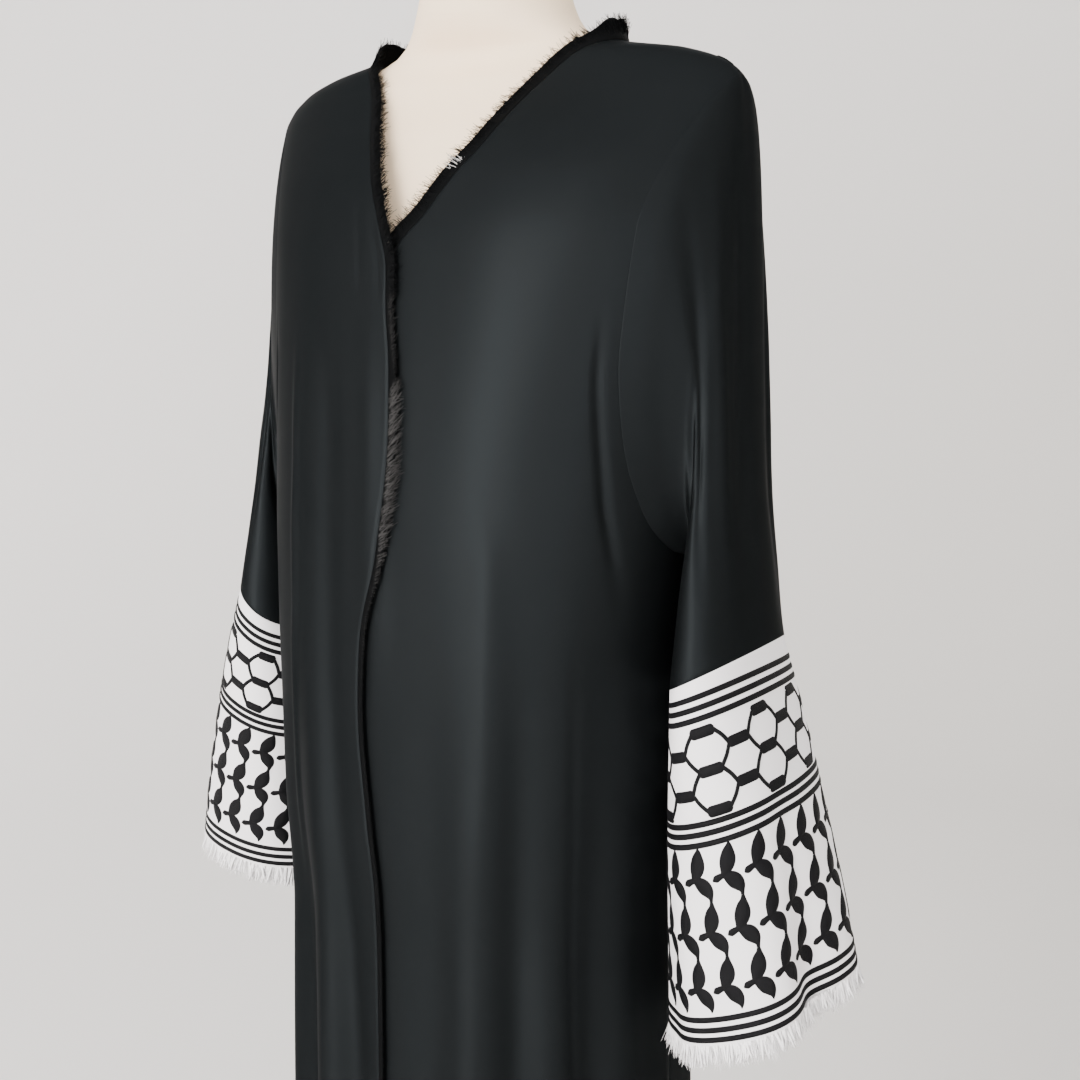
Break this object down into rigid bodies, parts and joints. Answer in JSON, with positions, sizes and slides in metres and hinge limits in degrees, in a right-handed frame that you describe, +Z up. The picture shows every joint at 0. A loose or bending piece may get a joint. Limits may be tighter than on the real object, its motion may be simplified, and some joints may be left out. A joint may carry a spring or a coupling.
{
  "type": "open-front abaya on a limbless dress form stand",
  "caption": "Long black open-front abaya with bell sleeves and patterned, fringed white cuffs, worn by a limbless dress form on a pole stand.",
  "frame": {"origin": "centre of the stand base's underside, on the floor", "axes": "+Z up, the garment's front faces -Y and its left side is +X"},
  "size_m": [0.5701, 0.37, 1.53],
  "materials": {
    "black_cloth": "matte crepe with a soft sheen",
    "white_cloth": "matte plain weave with black woven pattern",
    "cream_canvas": "smooth tight canvas",
    "painted_steel": "satin"
  },
  "bodies": {
    "root": {"front_right": "black_cloth", "front_left": "black_cloth", "back": "black_cloth", "sleeve_left": "black_cloth", "sleeve_right": "black_cloth", "cuff_left": "white_cloth", "cuff_right": "white_cloth", "cuff_fringe_left": "white_cloth", "cuff_fringe_right": "white_cloth", "trim_right": "black_cloth", "trim_back_neck": "black_cloth", "trim_left": "black_cloth", "form_torso": "cream_canvas", "stand_pole": "painted_steel", "stand_base": "painted_steel"}
  },
  "joints": []
}
